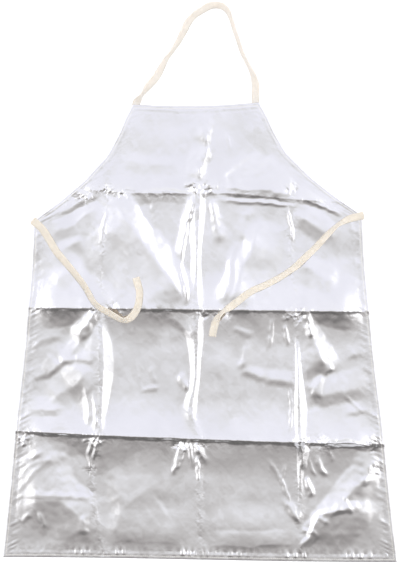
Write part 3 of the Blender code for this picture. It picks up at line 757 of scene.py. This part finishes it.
def new_object(name, bm, materials):
    mesh = bpy.data.meshes.new(name)
    bm.to_mesh(mesh)
    bm.free()
    for material in materials:
        mesh.materials.append(material)
    mesh.shade_smooth()
    thing = bpy.data.objects.new(name, mesh)
    bpy.context.scene.collection.objects.link(thing)
    return thing


def add_to(bm, other):
    """Move the other bmesh into the first."""
    mesh = bpy.data.meshes.new("moved")
    other.to_mesh(mesh)
    other.free()
    bm.from_mesh(mesh)
    bpy.data.meshes.remove(mesh)


def cell_grid(across, up):
    """A grid of square cells as a bmesh, with the column and row of each of its corners."""
    bm = bmesh.new()
    bmesh.ops.create_grid(bm, x_segments=across, y_segments=up, size=1.0)
    spots = np.array([v.co[:2] for v in bm.verts])
    column = np.rint((spots[:, 0] + 1) / 2 * across).astype(int)
    row = np.rint((spots[:, 1] + 1) / 2 * up).astype(int)
    return bm, column, row


def cut_grid(hem_lines, across_cells, up_cells):
    """A grid laid out over the cut, with the x and y of each of its corners."""
    rims = 2 * (len(hem_lines) - 1)
    bm, column, row = cell_grid(rims + sum(across_cells), rims + sum(up_cells))
    across = line_places(len(hem_lines), across_cells)
    up = line_places(len(hem_lines), up_cells)
    x = np.zeros(len(column))
    for _ in range(5):
        y = between(rows_at(x, hem_lines), up, row)
        x = between(columns_at(y, hem_lines), across, column)
    return bm, x, y


def cloth_back(x, y, sizes):
    """Height of the underside, clear of the foil face however it is creased nearby."""
    near = (-0.005, -0.0025, 0.0, 0.0025, 0.005)
    top = np.minimum.reduce([cloth_top(x + dx, y + dy, sizes) for dx in near for dy in near])
    hem = inset(x, y) < HEM_TURN + 0.0002
    wall = np.where(hem, HEM_WALL, sizes.cloth) - 0.0002
    return np.maximum(top - wall, FLOOR_GAP)


# Materials

class Nodes:
    """A short way to add and join the nodes of one material, or of the world."""

    def __init__(self, owner, shader="Principled BSDF"):
        owner.use_nodes = True
        self.owner = owner
        self.tree = owner.node_tree
        self.shader = self.tree.nodes[shader]

    def add(self, kind, inputs=None, **settings):
        node = self.tree.nodes.new("ShaderNode" + kind)
        for key, value in settings.items():
            setattr(node, key, value)
        for key, value in (inputs or {}).items():
            self.put(node.inputs[key], value)
        return node

    def put(self, socket, value):
        if isinstance(value, bpy.types.NodeSocket):
            self.tree.links.new(value, socket)
        else:
            socket.default_value = value

    def shade(self, inputs):
        """Set or join inputs of the shader, and give back the material."""
        for key, value in inputs.items():
            self.put(self.shader.inputs[key], value)
        return self.owner

    def math(self, operation, *values):
        node = self.add("Math", operation=operation)
        for socket, value in zip(node.inputs, values):
            self.put(socket, value)
        return node.outputs[0]

    def ramp(self, factor, stops):
        node = self.add("ValToRGB", {"Fac": factor})
        ramp = node.color_ramp
        ramp.elements[0].position, ramp.elements[1].position = stops[0][0], stops[-1][0]
        for place, _ in stops[1:-1]:
            ramp.elements.new(place)
        for element, (_, shade) in zip(ramp.elements, stops):
            element.color = (*shade, 1.0)
        return node.outputs["Color"]

    def bump(self, height, distance, strength, under=None):
        node = self.add("Bump", {"Height": height, "Distance": distance, "Strength": strength})
        if under is not None:
            self.put(node.inputs["Normal"], under)
        return node.outputs["Normal"]


def new_material(name):
    return Nodes(bpy.data.materials.new(name))


def weave(nodes, coordinate, pitch):
    """Height of a plain weave: threads that pass over and under each other."""
    heights = [
        nodes.add(
            "TexWave", {"Vector": coordinate, "Scale": 0.314 / pitch, "Distortion": 0.4, "Detail": 0.0},
            wave_type="BANDS", bands_direction=direction,
        ).outputs["Fac"]
        for direction in ("X", "Y")
    ]
    return nodes.math("MAXIMUM", *heights)


def foil_material(colours):
    nodes = new_material("aluminium_foil_face")
    place = nodes.add("TexCoord").outputs["Object"]
    crushed = nodes.add("Attribute", attribute_name="crushed").outputs["Fac"]
    blotch = nodes.add(
        "TexNoise", {"Vector": place, "Scale": 9.0, "Detail": 4.0, "Roughness": 0.6}
    ).outputs["Fac"]
    tint = [tuple(c * k for c in colours.foil) for k in (0.95, 1.0)]
    rough = nodes.add("MapRange", {"Value": blotch, "To Min": 0.13, "To Max": 0.20}).outputs[0]

    # Fine crumples where the foil is crushed, soft unevenness, and the weave that shows through
    drift = nodes.add("TexNoise", {"Vector": place, "Scale": 45.0, "Detail": 2.0}).outputs["Color"]
    bent = nodes.add(
        "VectorMath", {0: drift, 1: (0.012, 0.012, 0.012), 2: place}, operation="MULTIPLY_ADD"
    ).outputs[0]
    facets = nodes.add(
        "TexVoronoi", {"Vector": bent, "Scale": 90.0}, feature="DISTANCE_TO_EDGE"
    ).outputs["Distance"]
    soft = nodes.add("TexNoise", {"Vector": place, "Scale": 130.0, "Detail": 3.0}).outputs["Fac"]
    normal = nodes.bump(nodes.math("MULTIPLY", facets, crushed), 0.0020, 0.4)
    normal = nodes.bump(soft, 0.0001, 0.3, normal)
    normal = nodes.bump(weave(nodes, place, 0.0012), 0.00003, 0.2, normal)

    # Long flat facets in two sizes, each tilted a little its own way, and more where it is crushed
    for turn, scale, calm, worn in ((0.7, 26.0, 0.018, 0.16), (-0.8, 48.0, 0.026, 0.40)):
        lain = nodes.add(
            "Mapping", {"Vector": bent, "Rotation": (0.0, 0.0, turn), "Scale": (1.0, 0.4, 1.0)},
            vector_type="TEXTURE",
        ).outputs[0]
        cell = nodes.add("TexVoronoi", {"Vector": lain, "Scale": scale}).outputs["Color"]
        centred = nodes.add(
            "VectorMath", {0: cell, 1: (0.5, 0.5, 0.5)}, operation="SUBTRACT"
        ).outputs[0]
        amount = nodes.math("MULTIPLY_ADD", nodes.math("MULTIPLY", crushed, crushed), worn, calm)
        normal = nodes.add(
            "VectorMath", {0: centred, 1: amount, 2: normal}, operation="MULTIPLY_ADD"
        ).outputs[0]
    return nodes.shade({
        "Base Color": nodes.ramp(blotch, ((0.35, tint[0]), (0.65, tint[1]))),
        "Roughness": rough,
        "Metallic": 1.0,
        "Normal": nodes.add("VectorMath", {0: normal}, operation="NORMALIZE").outputs[0],
    })


def backing_material(colours):
    nodes = new_material("woven_backing")
    threads = weave(nodes, nodes.add("TexCoord").outputs["Object"], 0.0014)
    dark = tuple(0.72 * c for c in colours.backing)
    return nodes.shade({
        "Base Color": nodes.ramp(threads, ((0.25, dark), (0.9, tuple(colours.backing)))),
        "Roughness": 0.88,
        "Sheen Weight": 0.15,
        "Normal": nodes.bump(threads, 0.0004, 0.8),
    })


def tape_material(name, shade):
    """Twill tape, read along its length. A little light passes through to its shaded side."""
    nodes = new_material(name)
    tape = nodes.add("UVMap", uv_map="tape").outputs["UV"]
    turned = nodes.add("Mapping", {"Vector": tape, "Rotation": (0.0, 0.0, 0.6)}).outputs[0]
    twill = nodes.add(
        "TexWave", {"Vector": turned, "Scale": 300.0, "Distortion": 0.6, "Detail": 1.0},
        wave_type="BANDS", bands_direction="X",
    ).outputs["Fac"]
    yarn = nodes.add(
        "TexNoise", {"Vector": tape, "Scale": 60.0, "Detail": 5.0, "Roughness": 0.7}
    ).outputs["Fac"]
    mix = nodes.math("MULTIPLY_ADD", yarn, 0.75, nodes.math("MULTIPLY", twill, 0.25))
    dark = tuple(0.84 * c for c in shade)
    light = tuple(min(1.0, 1.05 * c) for c in shade)
    return nodes.shade({
        "Base Color": nodes.ramp(mix, ((0.3, dark), (0.72, light))),
        "Roughness": 0.9,
        "Sheen Weight": 0.25,
        "Sheen Roughness": 0.6,
        "Subsurface Weight": 0.6,
        "Subsurface Radius": (1.0, 0.9, 0.8),
        "Subsurface Scale": 0.003,
        "Normal": nodes.bump(twill, 0.0003, 0.7),
    })


def thread_material(colours):
    nodes = new_material("sewing_thread")
    place = nodes.add("TexCoord").outputs["Object"]
    yarn = nodes.add("TexNoise", {"Vector": place, "Scale": 2500.0, "Detail": 2.0}).outputs["Fac"]
    dark = tuple(0.8 * c for c in colours.thread)
    return nodes.shade({
        "Base Color": nodes.ramp(yarn, ((0.3, dark), (0.7, tuple(colours.thread)))),
        "Roughness": 0.6,
        "Normal": nodes.bump(yarn, 0.0002, 0.5),
    })


def floor_material(colours):
    return new_material("studio_floor").shade(
        {"Base Color": (*colours.floor, 1.0), "Roughness": 0.9, "Specular IOR Level": 0.1}
    )


# Surfaces that pieces rest on

def upper_face(thing):
    """A function that gives the height and normal of the object's top at a point in the frame."""
    graph = bpy.context.evaluated_depsgraph_get()
    tree = BVHTree.FromObject(thing, graph)

    def top(x, y):
        hit, normal, _, _ = tree.ray_cast(Vector((x, y, 1.0)), Vector((0, 0, -1)))
        return (hit.z, normal) if hit else (0.0, Vector((0, 0, 1)))

    return top


# Tapes

def neck_point(row):
    return BIB_SHIFT + row[0] * BIB_WIDTH / 2, BODY_LENGTH + row[1] * NECK_RISE


def smooth_route(points):
    """Points on a smooth curve through the given ones, which hold x, y and roll."""
    knots = [Vector(p) for p in points]
    before = [knots[0]] + knots[:-1]
    after = knots[1:] + [knots[-1]]
    reach = [(b - a) / 6 for a, b in zip(before, after)]
    result = [knots[0]]
    for k in range(len(knots) - 1):
        start, end = knots[k], knots[k + 1]
        steps = max(1, round((end - start).xy.length / TAPE_STEP))
        handles = (start + reach[k], end - reach[k + 1])
        result += interpolate_bezier(start, *handles, end, steps + 1)[1:]
    return result


def side_vectors(route):
    ahead = route[1:] + route[-1:]
    behind = route[:1] + route[:-1]
    return [Vector((b.y - a.y, a.x - b.x, 0.0)).normalized() for a, b in zip(ahead, behind)]


def rest_heights(route, sides, top, width):
    """The height on which each point rests, with short dents bridged and the steps smoothed."""
    shares = (-0.5, -0.35, -0.2, 0.0, 0.2, 0.35, 0.5)
    raw = []
    for point, side in zip(route, sides):
        spots = [point + share * width * side for share in shares]
        raw.append(max(top(spot.x, spot.y)[0] for spot in spots))
    distance = [0.0]
    for a, b in zip(route, route[1:]):
        distance.append(distance[-1] + (b - a).xy.length)

    def near(k):
        return [j for j, d in enumerate(distance) if abs(d - distance[k]) <= REST_WINDOW]

    highest = [max(raw[j] for j in near(k)) for k in range(len(raw))]
    return [sum(highest[j] for j in near(k)) / len(near(k)) for k in range(len(raw))]


def laid_sections(points, top, sizes):
    """Centre and half-width vector of each cross-section of a tape that rests on a surface."""
    route = smooth_route([(x, y + SHIFT_Y, math.radians(roll)) for x, y, roll in points])
    sides = side_vectors(route)
    rests = rest_heights(route, sides, top, sizes.tape_width)
    sections = []
    for point, side, rest in zip(route, sides, rests):
        roll = max(0.0, point.z)
        half = sizes.tape_width / 2 * (math.cos(roll) * side + math.sin(roll) * Vector((0, 0, 1)))
        height = rest + GAP + half.z + sizes.tape_thickness / 2 * math.cos(roll)
        sections.append((Vector((point.x, point.y, height)), half))
    return sections


def root_sections(first, direction, sizes):
    """The sections from a tie's hidden tab end, round the edge of the cloth, up to its first one."""
    centre, half = first
    low = sizes.tape_thickness / 2 + GAP
    radius = (centre.z - low) / 2
    corner = Vector((centre.x, centre.y, low))
    sections = [
        (corner + direction * TAB_LENGTH * (1 - k / TAB_STEPS), half) for k in range(TAB_STEPS)
    ]
    for k in range(TURN_STEPS):
        angle = math.pi * k / TURN_STEPS
        up = Vector((0, 0, radius * (1 - math.cos(angle))))
        sections.append((corner + up - direction * (GAP + radius * math.sin(angle)), half))
    return sections


def build_tape(name, sections, material, sizes):
    """A tape through the given cross-sections, with its length and width in its UV map."""
    bm, column, row = cell_grid(TAPE_CELLS, len(sections) - 1)
    layer = bm.loops.layers.uv.new("tape")
    run = [0.0]
    for (a, _), (b, _) in zip(sections, sections[1:]):
        run.append(run[-1] + (b - a).length)
    place = {}
    for vert, i, j in zip(bm.verts, column.tolist(), row.tolist()):
        centre, half = sections[j]
        share = 1 - 2 * i / TAPE_CELLS
        ahead = sections[min(j + 1, len(sections) - 1)][0] - sections[max(j - 1, 0)][0]
        up = ahead.cross(half).normalized()
        cup = TAPE_CUP * math.sin(run[j] / CUP_LENGTH) * (1 - share * share)
        vert.co = centre + share * half - abs(cup) * up * (1 if up.z < 0 else -1)
        place[vert] = (sizes.tape_width * i / TAPE_CELLS, run[j])
    for face in bm.faces:
        for loop in face.loops:
            loop[layer].uv = place[loop.vert]
    bm.normal_update()
    tape = new_object(name, bm, [material])
    wall = tape.modifiers.new("thickness", "SOLIDIFY")
    wall.thickness = sizes.tape_thickness
    wall.offset = 0.0
    return tape


def declare_tape(tape, node):
    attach(tape, "root")
    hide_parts(node)


# Operators

class APRON_OT_add_body(bpy.types.Operator):
    """Add the foil-faced cloth of the apron, with its folds, creases and turned hem"""

    bl_idname = "apron.add_body"
    bl_label = "Cloth Body"

    def execute(self, context):
        sizes, colours = settings(context)
        bm, x, y = cut_grid(HEM_LINES, ACROSS_CELLS, UP_CELLS)
        crushed = bm.verts.layers.float.new("crushed")
        for vert, vx, vy, vz, c in zip(bm.verts, x, y, cloth_top(x, y, sizes), crush(x, y)):
            vert.co = (vx, vy + SHIFT_Y, vz)
            vert[crushed] = c
        back, x, y = cut_grid(BACK_HEM_LINES, BACK_ACROSS_CELLS, BACK_UP_CELLS)
        for vert, vx, vy, vz in zip(back.verts, x, y, cloth_back(x, y, sizes)):
            vert.co = (vx, vy + SHIFT_Y, vz)
        bmesh.ops.reverse_faces(back, faces=back.faces)
        for face in back.faces:
            middle = face.calc_center_median()
            face.material_index = int(inset(middle.x, middle.y - SHIFT_Y) > HEM_TURN)
        add_to(bm, back)
        rim = [line for line in bm.edges if line.is_boundary]
        bmesh.ops.bridge_loops(bm, edges=rim)
        bmesh.ops.recalc_face_normals(bm, faces=bm.faces)
        body = new_object("foil_body", bm, [foil_material(colours), backing_material(colours)])
        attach(body, "root")
        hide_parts("apron_body")
        return {"FINISHED"}


class APRON_OT_add_hem_stitching(bpy.types.Operator):
    """Add the row of thread that holds the turned hem"""

    bl_idname = "apron.add_hem_stitching"
    bl_label = "Hem Stitching"

    def execute(self, context):
        sizes, colours = settings(context)
        top = upper_face(bpy.data.objects["foil_body"])
        places = []
        for a, b in hem_stitches(sizes):
            start, end = (Vector((p[0], p[1] + SHIFT_Y)) for p in (a, b))
            middle = (start + end) / 2
            height, normal = top(*middle)
            ahead = Vector((*(end - start), top(*end)[0] - top(*start)[0])).normalized()
            side = normal.cross(ahead).normalized()
            turn = Matrix((side, ahead.cross(side), ahead)).transposed().to_4x4()
            size = (sizes.thread / 2, sizes.thread * 0.4, 0.45 * sizes.stitch_pitch, 1)
            place = Matrix.Translation((middle.x, middle.y, height + 0.0001))
            places.append(place @ turn @ Matrix.Diagonal(size))
        bm = bmesh.new()
        for k in range(0, len(places), STITCH_BATCH):
            add_stitches(bm, places[k:k + STITCH_BATCH])
        stitching = new_object("hem_stitching", bm, [thread_material(colours)])
        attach(stitching, "root")
        return {"FINISHED"}


def add_stitches(bm, places):
    """A few stitches at a time, because the operator slows down as its mesh grows."""
    few = bmesh.new()
    for place in places:
        bmesh.ops.create_uvsphere(few, u_segments=6, v_segments=4, radius=1.0, matrix=place)
    add_to(bm, few)


def hem_stitches(sizes):
    """Start and end of each stitch, all the way round the apron."""
    keep = sizes.stitch_inset

    def up_side(side):
        y = np.linspace(hem_corner(side)[1] + keep, bib_corner(side)[1] - keep, 500)
        slope = (edge(side, y + 0.001) - edge(side, y - 0.001)) / 0.002
        return edge(side, y) - side * keep * np.hypot(1, slope), y

    hem_x = np.linspace(hem_corner(LEFT)[0] + keep, hem_corner(RIGHT)[0] - keep, 400)
    right_x, right_y = up_side(RIGHT)
    left_x, left_y = up_side(LEFT)
    bib_x = np.linspace(right_x[-1], bib_corner(LEFT)[0] + keep, 160)
    x = np.concatenate((hem_x, right_x, bib_x, left_x[::-1]))
    y = np.concatenate((hem_line(hem_x) + keep, right_y, top_line(bib_x) - keep, left_y[::-1]))
    run = np.concatenate(((0,), np.cumsum(np.hypot(np.diff(x), np.diff(y)))))
    marks = np.arange(0, run[-1], sizes.stitch_pitch)
    spots = list(zip(np.interp(marks, run, x), np.interp(marks, run, y)))
    return list(zip(spots, spots[1:]))


class APRON_OT_add_neck_strap(bpy.types.Operator):
    """Add the loop of twill tape that goes round the neck"""

    bl_idname = "apron.add_neck_strap"
    bl_label = "Neck Strap"

    def execute(self, context):
        sizes, colours = settings(context)
        points = [(*neck_point(row), row[2]) for row in NECK_ROUTE]
        tabs = [(x, y - TAB_LENGTH, 0) for x, y, _ in (points[0], points[-1])]
        sections = laid_sections([tabs[0], *points, tabs[1]], lambda x, y: (0.0, None), sizes)
        material = tape_material("strap_tape", colours.strap)
        strap = build_tape("neck_tape_loop", sections, material, sizes)
        declare_tape(strap, "neck_strap")
        return {"FINISHED"}


class APRON_OT_add_waist_ties(bpy.types.Operator):
    """Add the two tapes that tie round the waist, laid across the foil"""

    bl_idname = "apron.add_waist_ties"
    bl_label = "Waist Ties"

    def execute(self, context):
        sizes, colours = settings(context)
        top = upper_face(bpy.data.objects["foil_body"])
        material = tape_material("tie_tape", colours.ties)
        for word, side, route in (("left", LEFT, LEFT_TIE_ROUTE), ("right", RIGHT, RIGHT_TIE_ROUTE)):
            cx, cy = waist_corner(side)
            points = [(cx + x, cy + y, roll) for x, y, roll in route]
            sections = laid_sections(points, top, sizes)
            direction = Vector((*route[1][:2], 0.0)).normalized()
            full = root_sections(sections[0], direction, sizes) + sections
            tie = build_tape(word + "_tie_tape", full, material, sizes)
            declare_tape(tie, word + "_waist_tie")
        return {"FINISHED"}


class APRON_OT_set_stage(bpy.types.Operator):
    """Set the camera, the floor and the soft studio light"""

    bl_idname = "apron.set_stage"
    bl_label = "Studio"

    def execute(self, context):
        scene = context.scene
        _, colours = settings(context)
        camera = bpy.data.objects.new("camera", bpy.data.cameras.new("camera"))
        scene.collection.objects.link(camera)
        camera.location = (0.0, CAMERA_Y, CAMERA_HEIGHT)
        camera.data.sensor_width = SENSOR
        camera.data.lens = SENSOR * CAMERA_HEIGHT / VIEW_LENGTH
        camera.data.clip_end = 50
        scene.camera = camera
        scene.view_settings.view_transform = "Standard"

        bm = bmesh.new()
        bmesh.ops.create_grid(bm, x_segments=1, y_segments=1, size=FLOOR_REACH)
        floor = new_object("floor", bm, [floor_material(colours)])
        floor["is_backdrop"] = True

        fill = bpy.data.lights.new("fill", "AREA")
        fill.shape, fill.size, fill.energy = "SQUARE", LAMP_SIZE, LAMP_POWER
        lamp = bpy.data.objects.new("fill", fill)
        lamp.location = (0.0, 0.0, LAMP_HEIGHT)
        lamp.visible_glossy = False
        lamp.visible_camera = False
        scene.collection.objects.link(lamp)
        set_surroundings(scene)
        return {"FINISHED"}


def set_surroundings(scene):
    """A soft studio all round: light above and to the sides, dimmer towards the apron's hem."""
    scene.world = bpy.data.worlds.new("studio")
    nodes = Nodes(scene.world, "Background")
    way = nodes.add("TexCoord").outputs["Generated"]
    parts = nodes.add("SeparateXYZ", {"Vector": way}).outputs

    def by_direction(axis, table):
        share = nodes.add("MapRange", {"Value": parts[axis], "From Min": -1.0}).outputs[0]
        return nodes.ramp(share, [((place + 1) / 2, shade) for place, shade in table])

    def by_direction_grey(axis, table):
        return by_direction(axis, [(place, (level, level, level)) for place, level in table])

    studio = nodes.add(
        "Mix",
        {
            "Factor": by_direction_grey("Y", SIDE_SHARE),
            "A": by_direction("Y", LENGTH_LIGHT),
            "B": by_direction_grey("X", SIDE_LIGHT),
        },
        data_type="RGBA", blend_type="ADD",
    ).outputs["Result"]
    low, high = ROOM_HEIGHTS
    level = nodes.add("MapRange", {"Value": parts["Z"], "From Min": low, "From Max": high}).outputs[0]
    light = nodes.add(
        "Mix", {"Factor": level, "A": (*ROOM_LIGHT, 1.0), "B": studio}, data_type="RGBA"
    ).outputs["Result"]
    nodes.shade({"Color": light, "Strength": 1.0})


class APRON_PT_panel(bpy.types.Panel):
    """Sizes, colours and pieces of the apron"""

    bl_label = "Aluminized Apron"
    bl_space_type = "VIEW_3D"
    bl_region_type = "UI"
    bl_category = "Apron"

    def draw(self, context):
        layout = self.layout
        for group in settings(context):
            column = layout.column(align=True)
            for name in group.__annotations__:
                column.prop(group, name)
        for operator in OPERATORS:
            layout.operator(operator.bl_idname)


OPERATORS = (
    APRON_OT_add_body,
    APRON_OT_add_neck_strap,
    APRON_OT_add_waist_ties,
    APRON_OT_add_hem_stitching,
    APRON_OT_set_stage,
)
CLASSES = (ApronSizes, ApronColours, *OPERATORS, APRON_PT_panel)


def register():
    for item in CLASSES:
        bpy.utils.register_class(item)
    bpy.types.Scene.apron_sizes = bpy.props.PointerProperty(type=ApronSizes)
    bpy.types.Scene.apron_colours = bpy.props.PointerProperty(type=ApronColours)


def unregister():
    del bpy.types.Scene.apron_colours
    del bpy.types.Scene.apron_sizes
    for item in reversed(CLASSES):
        bpy.utils.unregister_class(item)


def main():
    register()
    bpy.ops.apron.set_stage()
    bpy.ops.apron.add_body()
    bpy.ops.apron.add_neck_strap()
    bpy.ops.apron.add_waist_ties()
    bpy.ops.apron.add_hem_stitching()
    boxes = {"cad": CAD_BOX, "visual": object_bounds()}
    boxes = {key: [[float(v) for v in corner] for corner in box] for key, box in boxes.items()}


if __name__ == "__main__":
    main()
